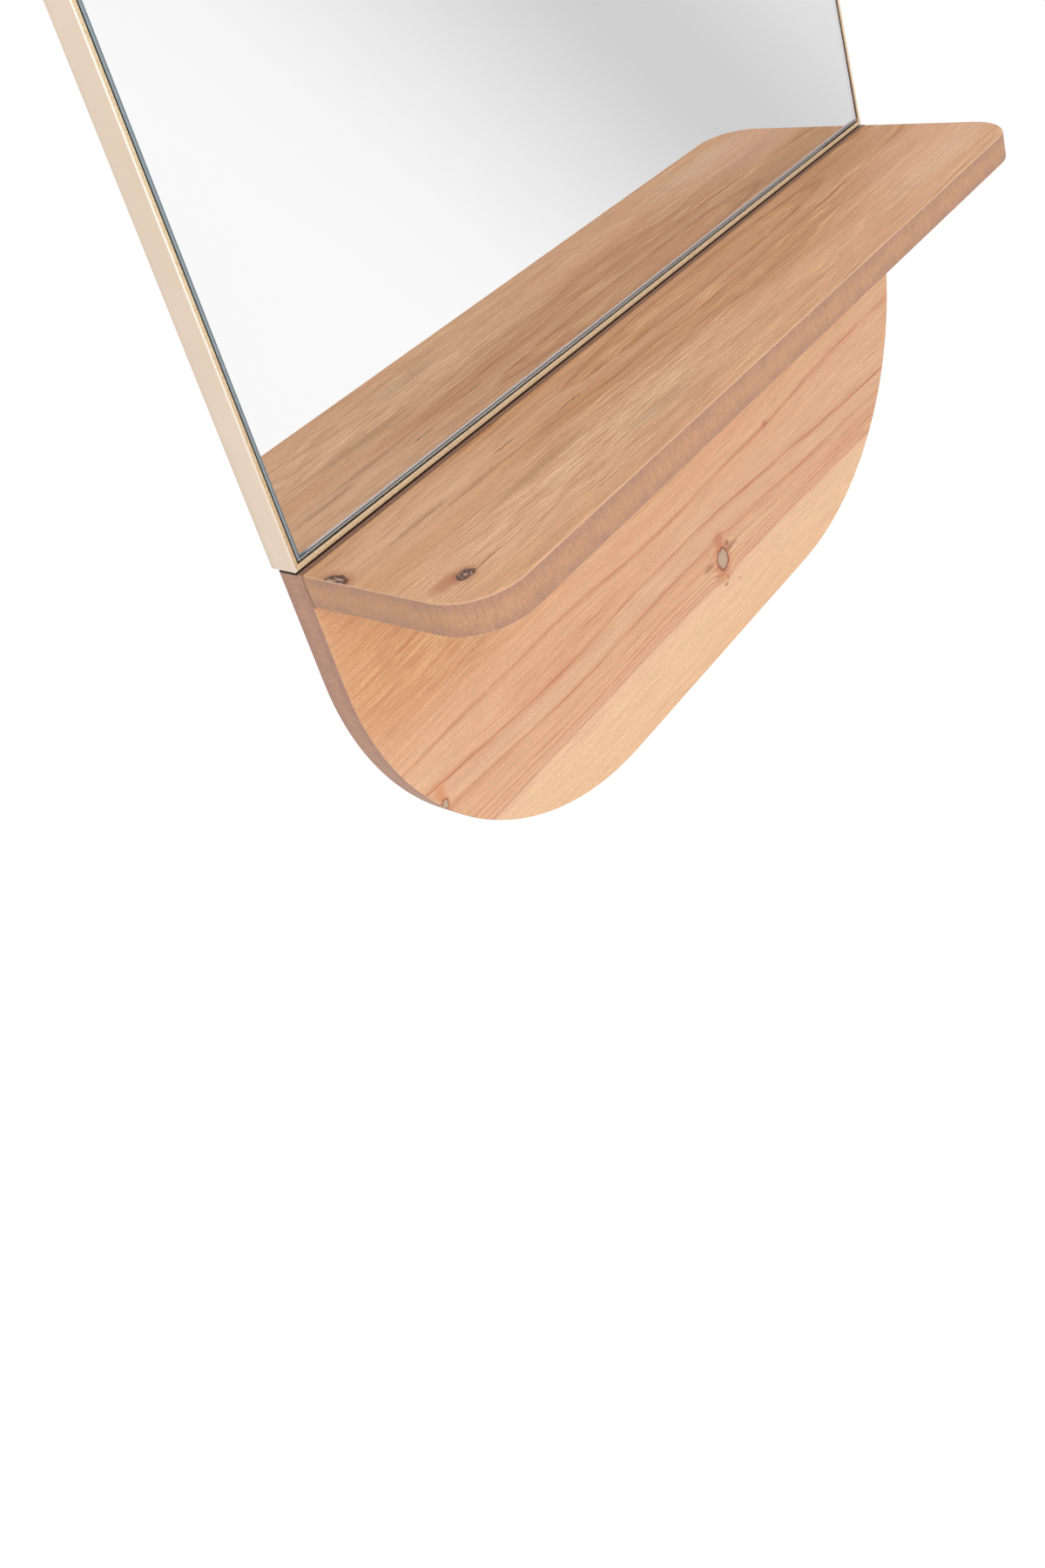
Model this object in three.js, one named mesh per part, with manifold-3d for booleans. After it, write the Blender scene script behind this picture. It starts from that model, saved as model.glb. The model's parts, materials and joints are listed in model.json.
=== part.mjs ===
// Wall mirror with a shelf: a framed glass with a round-cornered top stands on a solid wood backboard,
// and a wooden shelf butts against the front of that board, level with its top edge.
// Millimetres, +Z up, +X to the viewer's right, the front faces -Y and the wall is the plane Y = 0.
// The origin is the middle of the back of the frame's bottom rail. The backboard hangs a little in front
// of the wall, on two bumpers.
import * as THREE from "three";
import { mergeVertices } from "three/addons/utils/BufferGeometryUtils.js";
import Module from "manifold-3d";

const wasm = await Module();
wasm.setup();

// ---- driving dimensions ----
const width = 600; // mirror, shelf and backboard alike
const boardHeight = 260;
const boardThickness = 17;
const boardCornerRadius = 190; // the two lower corners
const boardStandoff = 4; // between the wall and the backboard
const shelfDepth = 118; // in front of the backboard
const shelfThickness = 19;
const shelfCornerRadius = 33; // the two front corners
const woodEase = 1.3; // sanded edges of both boards

const frameHeight = 539.1; // metal frame, bottom to top
const frameDepth = 17.5; // from the wall to the front
const frameWall = 3; // the metal edge seen round the glass
const frameCornerRadius = 190; // the two upper corners, outside
const frameSeatGap = 0.9; // dark line between the bottom rail and the wood

const glassThickness = 3;
const glassRecess = 0.3; // glass face behind the front of the frame
const glassClearance = 1.2; // all round the glass
const glassArris = 1; // width of the ground edge on the glass face
const glassArrisDepth = 0.6;

const tapeThickness = 1;
const tapeWidth = 25;
const tapeLength = 400;
const tapeCount = 5;
const tapeInset = 77; // middle of an outer strip from the inside of the frame

const panelThickness = 4; // backing sheet behind the glass
const panelClearance = 1;

const plateThickness = 1.5; // steel of the tabs, gussets and hangers
const plateSeat = 0.2; // between a plate and the backing sheet
const tabWidth = 24; // along the frame
const tabReach = 16; // in from the frame
const sideTabHeights = [85, 215]; // above the frame's bottom
const topTabInset = 30; // middle of a top tab from the end of the round corner
const gussetLeg = 38;

const hangerReach = 40; // in from the side of the frame
const hangerHeight = 44;
const hangerBelowCorner = 40; // middle of the hanger below the start of the round corner
const hangerRecess = 0.4; // its back face in front of the wall plane
const keyholeInset = 20; // from the inside of the frame
const keyholeHeadRadius = 4.8;
const keyholeNeckWidth = 5;
const keyholeDrop = 8; // middle of the head hole below the middle of the hanger
const keyholeTravel = 13; // from the head hole up to the seat of the wall screw

const woodFit = 0.2; // between a fastener and the wood round it
const dowelRadius = 4;
const dowelLength = 30;
const dowelInBoard = 10;
const dowelInset = 130; // from either end
const shelfScrewCount = 4;
const shelfScrewInset = 45;
const railScrewCount = 3;
const railScrewInset = 80;

const bumperRadius = 9; // on the backboard
const bumperTaper = 1.5; // narrower by this at the wall
const bumperInset = 150; // from either end
const bumperAbove = 40; // its middle above the bottom of the backboard

// countersunk screws: shank radius, overall length, head radius; the pan head has its own height
const shelfScrew = { shank: 2.25, length: 60, head: 4.2, sunk: 0.3 };
const railScrew = { shank: 1.75, length: 32, head: 3.4, sunk: 0 };
const panelScrew = { shank: 1.4, length: 4.6, head: 2.9, headHeight: 1.4 };

const arcSteps = 32; // per quarter turn of a large corner
const smallArcSteps = 12;
const screwSides = 16;

// ---- places that follow from them ----
const frameBottom = -frameWall / 2;
const railTop = frameBottom + frameWall;
const frameTop = frameBottom + frameHeight;
const innerHalf = width / 2 - frameWall;
const boardTop = frameBottom - frameSeatGap;
const boardBottom = boardTop - boardHeight;
const boardBack = -boardStandoff;
const shelfBack = boardBack - boardThickness;
const shelfFront = shelfBack - shelfDepth;
const glassFront = -frameDepth + glassRecess;
const glassBack = glassFront + glassThickness;
const panelFront = glassBack + tapeThickness;
const panelBack = panelFront + panelThickness;
const plateFront = panelBack + plateSeat; // side of a plate that faces the backing sheet
const shelfMiddle = boardTop - shelfThickness / 2;
const railScrewY = (boardBack - frameDepth) / 2; // middle of the depth that the rail and the board share
const hangerMiddle = frameTop - frameCornerRadius - hangerBelowCorner;
const keyholeX = innerHalf - keyholeInset;

// ---- solids ----
const materials = {
  wood: { color: 0xd9a67e, roughness: 0.62, metalness: 0 },
  brass: { color: 0xd8c3a0, roughness: 0.38, metalness: 1 },
  mirror: { color: 0xe6eaea, roughness: 0.02, metalness: 1 },
  fibreboard: { color: 0x8a6a4c, roughness: 0.85, metalness: 0 },
  foam: { color: 0xe9e9e4, roughness: 0.9, metalness: 0 },
  steel: { color: 0xb9bcc0, roughness: 0.4, metalness: 1 },
  beech: { color: 0xd8b488, roughness: 0.7, metalness: 0 },
  rubber: { color: 0x3c3a38, roughness: 0.8, metalness: 0 },
};

const group = new THREE.Group();

function add(name, materialName, geometry) {
  const mesh = new THREE.Mesh(geometry, new THREE.MeshStandardMaterial(materials[materialName]));
  mesh.name = name;
  group.add(mesh);
  return mesh;
}

function solidOf(geometry) {
  const bare = geometry.clone();
  bare.deleteAttribute("normal");
  bare.deleteAttribute("uv");
  const merged = mergeVertices(bare, 1e-4);
  return new wasm.Manifold(
    new wasm.Mesh({
      numProp: 3,
      vertProperties: new Float32Array(merged.attributes.position.array),
      triVerts: new Uint32Array(merged.index.array),
    }),
  );
}

function geometryOf(solid) {
  const mesh = solid.getMesh();
  const geometry = new THREE.BufferGeometry();
  geometry.setAttribute("position", new THREE.BufferAttribute(mesh.vertProperties, 3));
  geometry.setIndex(new THREE.BufferAttribute(mesh.triVerts, 1));
  return geometry;
}

// The geometry with every tool taken out of it.
function cut(geometry, tools) {
  let solid = solidOf(geometry);
  for (const tool of tools) solid = solid.subtract(solidOf(tool));
  return geometryOf(solid);
}

// Evenly spaced places from -end to end.
function spread(count, end) {
  return Array.from({ length: count }, (_, i) => end * ((2 * i) / (count - 1) - 1));
}

function block(x0, x1, y0, y1, z0, z1) {
  const box = new THREE.BoxGeometry(x1 - x0, y1 - y0, z1 - z0);
  return box.translate((x0 + x1) / 2, (y0 + y1) / 2, (z0 + z1) / 2);
}

// A shape drawn in X and Z, made solid from Y = back towards the viewer.
function upright(shape, thickness, back, steps, options = {}) {
  const plain = { depth: thickness, bevelEnabled: false, curveSegments: steps };
  const solid = new THREE.ExtrudeGeometry(shape, { ...plain, ...options });
  return solid.rotateX(Math.PI / 2).translate(0, back, 0);
}

// Extrude options that round or chamfer both faces' edges inside the outline.
function eased(thickness, size, depth, steps) {
  return {
    depth: thickness - 2 * depth,
    bevelEnabled: true,
    bevelThickness: depth,
    bevelSize: size,
    bevelOffset: -size,
    bevelSegments: steps,
  };
}

// A rectangle with two round corners: at the top (side 1) or at the bottom (side -1).
function arched(half, square, round, radius, side) {
  const shape = new THREE.Shape();
  const turn = round - side * radius;
  if (side > 0) {
    shape.moveTo(-half, square).lineTo(half, square).lineTo(half, turn);
    shape.absarc(half - radius, turn, radius, 0, Math.PI / 2, false);
    shape.lineTo(-half + radius, round);
    shape.absarc(-half + radius, turn, radius, Math.PI / 2, Math.PI, false);
  } else {
    shape.moveTo(half, square).lineTo(-half, square).lineTo(-half, turn);
    shape.absarc(-half + radius, turn, radius, Math.PI, 1.5 * Math.PI, false);
    shape.lineTo(half - radius, round);
    shape.absarc(half - radius, turn, radius, 1.5 * Math.PI, 2 * Math.PI, false);
  }
  return shape;
}

// Turned profile of a countersunk screw along Y, its head towards the wall with the flat face at Y = 0;
// grow widens it into its hole.
function countersunk({ shank, length, head }, grow = 0) {
  const cone = head - shank;
  const point = 2.5 * shank;
  const outline = [
    [0, -length - grow],
    [shank + grow, -length + point],
    [shank + grow, -cone],
    [head + grow, 0],
    [0, 0],
  ];
  return new THREE.LatheGeometry(outline.map(([r, h]) => new THREE.Vector2(r, h)), screwSides);
}

// The straight mouth behind a countersunk head, as wide as the head's hole.
function mouth({ head }, height, grow) {
  const tube = new THREE.CylinderGeometry(head + grow, head + grow, height, screwSides);
  return tube.translate(0, height / 2, 0);
}

// A cross recess, cut into a head whose flat face is at Y = top.
function crossRecess(head, top) {
  const long = 1.05 * head;
  const wide = 0.24 * head;
  const deep = 0.36 * head;
  const slot = new THREE.BoxGeometry(long, 2 * deep, wide).translate(0, top, 0);
  return [slot, slot.clone().rotateY(Math.PI / 2)];
}

function woodScrew(spec) {
  return cut(countersunk(spec), crossRecess(spec.head, 0));
}

function panScrew({ shank, length, head, headHeight }) {
  const outline = [
    [0, -length],
    [shank, -length + shank],
    [shank, 0],
    [head, 0],
    [head, 0.45 * headHeight],
    [0.78 * head, 0.85 * headHeight],
    [0.45 * head, headHeight],
    [0, headHeight],
  ];
  const turned = new THREE.LatheGeometry(outline.map(([r, h]) => new THREE.Vector2(r, h)), screwSides);
  return cut(turned, crossRecess(0.8 * head, headHeight));
}

// ---- wood ----
function shelfScrewAt(geometry, x) {
  return geometry.translate(x, boardBack - shelfScrew.sunk, shelfMiddle);
}

function shelfScrewHole(x) {
  return [
    shelfScrewAt(countersunk(shelfScrew, woodFit), x),
    shelfScrewAt(mouth(shelfScrew, 2 * shelfScrew.sunk, woodFit), x),
  ];
}

// Turned so that the head is up.
function railScrewAt(geometry, x) {
  return geometry.rotateX(Math.PI / 2).translate(x, railScrewY, railTop - railScrew.sunk);
}

function railScrewHole(x) {
  return [
    railScrewAt(countersunk(railScrew, woodFit), x),
    railScrewAt(mouth(railScrew, frameWall, woodFit), x),
  ];
}

function dowel(x, grow) {
  const pin = new THREE.CylinderGeometry(dowelRadius + grow, dowelRadius + grow, dowelLength + 2 * grow, screwSides);
  const middle = shelfBack + dowelInBoard - dowelLength / 2;
  return pin.translate(x, middle, shelfMiddle);
}

const dowelPlaces = spread(2, width / 2 - dowelInset);
const shelfScrewPlaces = spread(shelfScrewCount, width / 2 - shelfScrewInset);
const railScrewPlaces = spread(railScrewCount, width / 2 - railScrewInset);
const shelfHoles = shelfScrewPlaces.flatMap(shelfScrewHole);
const railHoles = railScrewPlaces.flatMap(railScrewHole);
const dowelHoles = dowelPlaces.map((x) => dowel(x, woodFit));

// The outlines run past the butt joint and are cut square there, so that only the free edges are sanded round.
const spare = 2 * woodEase;
const boardShape = arched(width / 2, boardTop + spare, boardBottom, boardCornerRadius, -1);
const boardEdge = eased(boardThickness, woodEase, woodEase, 3);
const boardBlank = upright(boardShape, boardThickness, boardBack - woodEase, arcSteps, boardEdge);
const aboveBoard = block(-width, width, 2 * shelfBack, boardThickness, boardTop, boardTop + 2 * spare);
add("backboard", "wood", cut(boardBlank, [aboveBoard, ...shelfHoles, ...railHoles, ...dowelHoles]));

const shelfShape = arched(width / 2, shelfBack + spare, shelfFront, shelfCornerRadius, -1);
const shelfEdge = { curveSegments: smallArcSteps, ...eased(shelfThickness, woodEase, woodEase, 3) };
const shelfBlank = new THREE.ExtrudeGeometry(shelfShape, shelfEdge);
shelfBlank.translate(0, 0, boardTop - shelfThickness + woodEase);
const behindShelf = block(-width, width, shelfBack, shelfBack + 2 * spare, boardBottom, -boardBottom);
add("shelf", "wood", cut(shelfBlank, [behindShelf, ...shelfHoles, ...dowelHoles]));

dowelPlaces.forEach((x, i) => add("shelf_dowel_" + (i + 1), "beech", dowel(x, 0)));
shelfScrewPlaces.forEach((x, i) => add("shelf_screw_" + (i + 1), "steel", shelfScrewAt(woodScrew(shelfScrew), x)));

for (const side of [-1, 1]) {
  const pad = new THREE.CylinderGeometry(bumperRadius - bumperTaper, bumperRadius, boardStandoff, 2 * screwSides);
  pad.translate(side * (width / 2 - bumperInset), boardBack / 2, boardBottom + bumperAbove);
  add("board_bumper_" + (side < 0 ? "left" : "right"), "rubber", pad);
}

// ---- metal frame ----
// One flat bar is bent into the sides and the top. Its feet and the ends of the rail are mitred.
function bandShape() {
  const outer = arched(width / 2, frameBottom, frameTop, frameCornerRadius, 1).getPoints(arcSteps);
  const innerRadius = frameCornerRadius - frameWall;
  const inner = arched(innerHalf, railTop, frameTop - frameWall, innerRadius, 1).getPoints(arcSteps);
  const [outerLeft, ...outerRest] = outer;
  const [innerLeft, ...innerRest] = inner;
  return new THREE.Shape([...outerRest, outerLeft, innerLeft, ...innerRest.reverse()]);
}
add("frame_band", "brass", upright(bandShape(), frameDepth, 0, arcSteps));

const railShape = new THREE.Shape([
  new THREE.Vector2(-width / 2, frameBottom),
  new THREE.Vector2(width / 2, frameBottom),
  new THREE.Vector2(innerHalf, railTop),
  new THREE.Vector2(-innerHalf, railTop),
]);
add("frame_bottom_rail", "brass", cut(upright(railShape, frameDepth, 0, 1), railHoles));
railScrewPlaces.forEach((x, i) => add("rail_screw_" + (i + 1), "steel", railScrewAt(woodScrew(railScrew), x)));

// ---- glass, tape and backing sheet ----
function insideFrame(clearance) {
  const radius = frameCornerRadius - frameWall - clearance;
  return arched(innerHalf - clearance, railTop + clearance, frameTop - frameWall - clearance, radius, 1);
}

const glassEdge = eased(glassThickness, glassArris, glassArrisDepth, 1);
add(
  "mirror_glass",
  "mirror",
  upright(insideFrame(glassClearance), glassThickness, glassBack - glassArrisDepth, arcSteps, glassEdge),
);

const tapeMiddle = (railTop + frameTop - frameWall) / 2;
spread(tapeCount, innerHalf - tapeInset).forEach((x, i) => {
  const strip = block(
    x - tapeWidth / 2,
    x + tapeWidth / 2,
    glassBack,
    panelFront,
    tapeMiddle - tapeLength / 2,
    tapeMiddle + tapeLength / 2,
  );
  add("mirror_tape_" + (i + 1), "foam", strip);
});

// ---- plates on the frame that hold the backing sheet, each with its screw ----
// at: middle of the plate on the frame's inside; inward: unit step away from the frame, in X and Z.
const tabPlates = [];
for (const side of [-1, 1]) {
  const label = side < 0 ? "left" : "right";
  sideTabHeights.forEach((height, i) => {
    const z = frameBottom + height;
    tabPlates.push({ name: "panel_tab_" + label + "_" + (i + 1), at: [side * innerHalf, z], inward: [-side, 0] });
  });
  const x = side * (width / 2 - frameCornerRadius - topTabInset);
  tabPlates.push({ name: "panel_tab_top_" + label, at: [x, frameTop - frameWall], inward: [0, -1] });
}

// Middle of the screw that goes through a tab.
function tabScrewPlace({ at, inward }) {
  return [at[0] + (inward[0] * tabReach) / 2, at[1] + (inward[1] * tabReach) / 2];
}

function panelScrewAt(geometry, [x, z]) {
  return geometry.translate(x, plateFront + plateThickness, z);
}

function panelScrewHole(place) {
  const length = panelScrew.length + 2 * woodFit;
  const bore = new THREE.CylinderGeometry(panelScrew.shank + woodFit, panelScrew.shank + woodFit, length, screwSides);
  return panelScrewAt(bore.translate(0, -length / 2 + woodFit, 0), place);
}

function tabGeometry({ at, inward }) {
  const far = [at[0] + inward[0] * tabReach, at[1] + inward[1] * tabReach];
  const halfX = inward[0] ? 0 : tabWidth / 2;
  const halfZ = inward[0] ? tabWidth / 2 : 0;
  const xs = [Math.min(at[0], far[0]) - halfX, Math.max(at[0], far[0]) + halfX];
  const zs = [Math.min(at[1], far[1]) - halfZ, Math.max(at[1], far[1]) + halfZ];
  return block(xs[0], xs[1], plateFront, plateFront + plateThickness, zs[0], zs[1]);
}

// Triangular gusset in a lower corner; it keeps the mitre square.
function gussetGeometry(side) {
  const shape = new THREE.Shape([
    new THREE.Vector2(side * innerHalf, railTop),
    new THREE.Vector2(side * (innerHalf - gussetLeg), railTop),
    new THREE.Vector2(side * innerHalf, railTop + gussetLeg),
  ]);
  return upright(shape, plateThickness, plateFront + plateThickness, 1);
}

const gussetScrewInset = gussetLeg / 3;
const screwPlaces = [];
for (const tab of tabPlates) {
  const place = tabScrewPlace(tab);
  add(tab.name, "steel", cut(tabGeometry(tab), [panelScrewHole(place)]));
  screwPlaces.push(place);
}
for (const side of [-1, 1]) {
  const place = [side * (innerHalf - gussetScrewInset), railTop + gussetScrewInset];
  const label = side < 0 ? "left" : "right";
  add("corner_gusset_" + label, "steel", cut(gussetGeometry(side), [panelScrewHole(place)]));
  screwPlaces.push(place);
}
screwPlaces.forEach((place, i) => add("panel_screw_" + (i + 1), "steel", panelScrewAt(panScrew(panelScrew), place)));

// ---- keyhole hangers, at the back of the frame ----
function keyholeShape(x) {
  const head = hangerMiddle - keyholeDrop;
  const neck = keyholeNeckWidth / 2;
  const meet = Math.asin(neck / keyholeHeadRadius);
  const shape = new THREE.Shape();
  shape.absarc(x, head, keyholeHeadRadius, Math.PI / 2 + meet, Math.PI / 2 - meet + 2 * Math.PI, false);
  shape.absarc(x, head + keyholeTravel, neck, 0, Math.PI, false);
  return shape;
}

function hangerGeometry(side) {
  const xs = [side * innerHalf, side * (innerHalf - hangerReach)].sort((a, b) => a - b);
  const z0 = hangerMiddle - hangerHeight / 2;
  const back = -hangerRecess;
  const plate = block(xs[0], xs[1], back - plateThickness, back, z0, z0 + hangerHeight);
  const tool = upright(keyholeShape(side * keyholeX), 3 * plateThickness, plateThickness, smallArcSteps);
  return cut(plate, [tool]);
}

add("hanger_left", "steel", hangerGeometry(-1));
add("hanger_right", "steel", hangerGeometry(1));

const panelBlank = upright(insideFrame(panelClearance), panelThickness, panelBack, arcSteps);
add("back_panel", "fibreboard", cut(panelBlank, screwPlaces.map(panelScrewHole)));

export default group;
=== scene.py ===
import json
import math

import bpy
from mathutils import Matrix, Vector


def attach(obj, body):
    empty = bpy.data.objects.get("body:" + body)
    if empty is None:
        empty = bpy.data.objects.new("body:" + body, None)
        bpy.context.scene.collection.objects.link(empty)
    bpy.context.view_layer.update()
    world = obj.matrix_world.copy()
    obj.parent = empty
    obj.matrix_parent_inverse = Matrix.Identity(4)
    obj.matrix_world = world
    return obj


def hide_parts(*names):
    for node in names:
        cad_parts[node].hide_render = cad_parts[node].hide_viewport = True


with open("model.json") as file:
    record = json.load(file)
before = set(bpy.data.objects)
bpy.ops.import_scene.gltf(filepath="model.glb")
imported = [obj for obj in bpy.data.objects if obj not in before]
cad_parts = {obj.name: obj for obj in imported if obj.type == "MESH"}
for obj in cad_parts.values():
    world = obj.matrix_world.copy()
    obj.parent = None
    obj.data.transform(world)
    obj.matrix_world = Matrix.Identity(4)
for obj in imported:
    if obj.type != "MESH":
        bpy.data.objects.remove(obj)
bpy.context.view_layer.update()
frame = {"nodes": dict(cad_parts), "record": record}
nodes = frame["nodes"]
scene = bpy.context.scene
mm = 0.001
# Sockets go by number where their names repeat. MapRange: 0 is the value, 1 and 2 its span, 3 and 4 the new
# span. Mix: 0 is the share, then 2 under and 3 over for numbers, or 6 under and 7 over for colours, output 2.
# A noise stays mostly between 0.3 and 0.7, so the spans that take one lie about there
colourMix = {"data_type": "RGBA"}
numberMix = {"data_type": "FLOAT"}
smooth = {"interpolation_type": "SMOOTHSTEP"}


def linear(hexColour):
    # sRGB hex to the linear values that the sockets take
    parts = [int(hexColour[i:i + 2], 16) / 255 for i in (1, 3, 5)]
    return [p / 12.92 if p <= 0.04045 else ((p + 0.055) / 1.055) ** 2.4 for p in parts] + [1.0]


def addNode(tree, kind, settings=None, inputs=None, output=0):
    # one node: its settings, then its sockets, each a value or the output that feeds it
    node = tree.nodes.new("ShaderNode" + kind)
    for name, value in (settings or {}).items():
        if name == "stops":
            ramp = node.color_ramp.elements
            while len(ramp) > 1:
                ramp.remove(ramp[0])
            for n, (place, colour) in enumerate(value):
                stop = ramp[0] if n == 0 else ramp.new(place)
                stop.position = place
                stop.color = linear(colour) if isinstance(colour, str) else (colour, colour, colour, 1)
        elif name == "curve":
            points = node.mapping.curves[0].points
            for n, place in enumerate(value):
                if n < 2:
                    points[n].location = place
                else:
                    points.new(*place)
            node.mapping.update()
        else:
            setattr(node, name, value)
    for name, value in (inputs or {}).items():
        socket = node.inputs[name]
        if isinstance(value, bpy.types.NodeSocket):
            tree.links.new(value, socket)
        else:
            socket.default_value = linear(value) if isinstance(value, str) else value
    return node.outputs[output]


def newMaterial(name):
    material = bpy.data.materials.new(name)
    material.use_nodes = True
    material.node_tree.nodes.clear()
    return material, material.node_tree


def finishMaterial(material, tree, inputs, bump=None, bumpDepth=0.0):
    # the shader, with the bump where there is one
    if bump is not None:
        inputs["Normal"] = addNode(tree, "Bump", None, {"Strength": 1.0, "Distance": bumpDepth, "Height": bump})
    shader = addNode(tree, "BsdfPrincipled", None, inputs)
    tree.links.new(shader, tree.nodes.new("ShaderNodeOutputMaterial").inputs["Surface"])
    return material


def placeInMm(tree):
    # the place on the piece, in mm of the part's frame
    place = addNode(tree, "TexCoord", None, None, "Object")
    return addNode(tree, "VectorMath", {"operation": "SCALE"}, {0: place, "Scale": 1 / mm})


# Planed softwood, oiled. Flat-sawn faces give long thin red-brown lines of latewood on a pinkish tan ground,
# with fine straw and brown streaks along the fibres. Places are in mm in the part's frame: X, then the height
# on the board's front or the depth on the shelf's top
board = {
    # the way its face looks, middle and half of its thickness, and the saw's marks on its edges in cycles per mm
    "face": (0, 1, 0), "middle": -12.5, "half": 8.5, "saw": (0.8, 0.12, 0.8),
    # heights of lines that wander along X, within a box of left, right, low and high
    "curveBox": (-300.0, 300.0, -260.0, -120.0),
    "lineTop": [(-300, -140), (-150, -138), (-50, -143), (50, -142), (100, -141), (150, -137), (300, -134)],
    "lineMiddle": [(-300, -161), (-262, -163), (-150, -169), (-50, -165), (100, -172), (200, -181),
                   (300, -184)],
    "lineLow": [(-300, -178), (-250, -180), (-150, -186), (-50, -184), (150, -192), (300, -199)],
    "sapBorder": [(-300, -212), (-50, -213), (50, -215), (200, -220), (300, -226)],
    "lineSpans": (27.0, 18.0, 28.0),  # from the border up to each line in turn, in the middle of the board
    # by the distance in mm above the sapwood border in the middle of the board, from and to the span
    "rampSpan": (-50.0, 220.0),
    "groundStops": [(-50, "#ecbe94"), (-12, "#eec49b"), (-1.2, "#edc29c"), (1.0, "#e3b08d"), (9, "#e4b28c"),
                    (22, "#e0ac86"), (40, "#e2b28e"), (58, "#e3b08a"), (75, "#e3b18a"), (100, "#dca57c"),
                    (150, "#d9a075"), (215, "#d9a075")],
    "lineStops": [(-50, 0.0), (0.5, 0.0), (1.4, 0.8), (2.2, 0.0), (3.6, 0.0), (4.4, 0.85), (5.3, 0.0),
                  (6.6, 0.05), (7.5, 0.95), (8.4, 0.05), (10.6, 0.05), (11.5, 0.9), (12.4, 0.05),
                  (16.2, 0.04), (17.0, 0.5), (18.0, 0.0), (24.5, 0.1), (26.4, 0.38), (27.2, 0.85),
                  (28.2, 0.15), (31, 0.0), (41, 0.04), (44.0, 0.3), (45.0, 0.95), (46.0, 0.25), (49, 0.0),
                  (69, 0.04), (71.9, 0.34), (72.8, 0.85), (73.8, 0.15), (76, 0.0), (215, 0.0)],
    "lineColour": "#bd6840", "paleColour": "#f6cfa6", "darkColour": "#c47c54", "checkColour": "#94623f",
    # strengths of the pale and dark streaks, the checks and the straw, tones of the finest fibres, then how far
    # the lines wander and ripple in mm, and how strongly and far they part at a knot
    "pale": 0.34, "dark": 0.4, "checks": 0.5, "straw": 0.42, "fine": (0.87, 1.12),
    "wander": 2.0, "ripple": 0.45, "pull": (0.8, 3.0),
    # strength of the crumbs in knots, tones of the top edge (painted shade under the frame), the ends and the
    # whole
    "crumbs": 0.15, "topShade": 0.62, "endTone": 1.04, "tone": 1.0,
    # soft patches and small marks: X, height, half width, half height, colour, strength, how far it follows the
    # pale fibres, or with a minus the dark ones
    "marks": [(-262, -75, 46, 42, "#e39a63", 0.35, 0.5), (-215, -72, 95, 46, "#f6d19c", 0.42, 1.0),
              (-215, -80, 95, 50, "#b0683c", 0.22, -1.0), (-160, -160, 130, 14, "#c87a52", 0.16, -1.0),
              (-200, -84, 70, 9, "#f2c793", 0.45, 0.9), (-272, -78, 7, 12, "#b07a52", 0.16, 1.0),
              (-130, -60, 90, 22, "#dd9a68", 0.25, 0.6), (97, -141, 5, 3.2, "#b8694c", 0.6, 0.2),
              (-268, -168, 5, 7, "#d98a55", 0.6, 0.3), (18, -186, 7, 6, "#c0654c", 0.55, 0.3),
              (2, -198, 8, 2.6, "#9a5f4d", 0.7, 0.3), (29, -197.5, 9, 2.2, "#8e5948", 0.7, 0.3),
              (26, -193, 3, 2.4, "#6f4a45", 0.75, 0.1), (12, -211, 10, 4, "#c27a58", 0.5, 0.4),
              (16, -220, 2.6, 1.1, "#8f5a3c", 0.8, 0.0), (31, -225, 1.2, 1.0, "#a8683f", 0.7, 0.0),
              (19, -216, 1.6, 2.2, "#b26a4c", 0.6, 0.0), (210, -207, 60, 7, "#cf8e6a", 0.35, 0.7)],
    # knots as X, height, half width, half height, and their rings by the share of the way from middle to rim
    "knots": [(18, -201, 6.6, 8.6), (-267, -176, 2.6, 3.4)],
    "knotStops": [(0.0, "#c9ab92"), (0.72, "#c2a289"), (0.84, "#a5775c"), (0.93, "#8c5339"),
                  (1.0, "#a9694a")],
    "haloColour": "#c96f4c", "arrisColour": "#f2d2b0", "strawColour": "#f6d3a6",
    "edgeMiddle": "#c1937a", "edgeBorder": "#b18676", "edgeFleck": "#cfa386",
}
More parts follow.
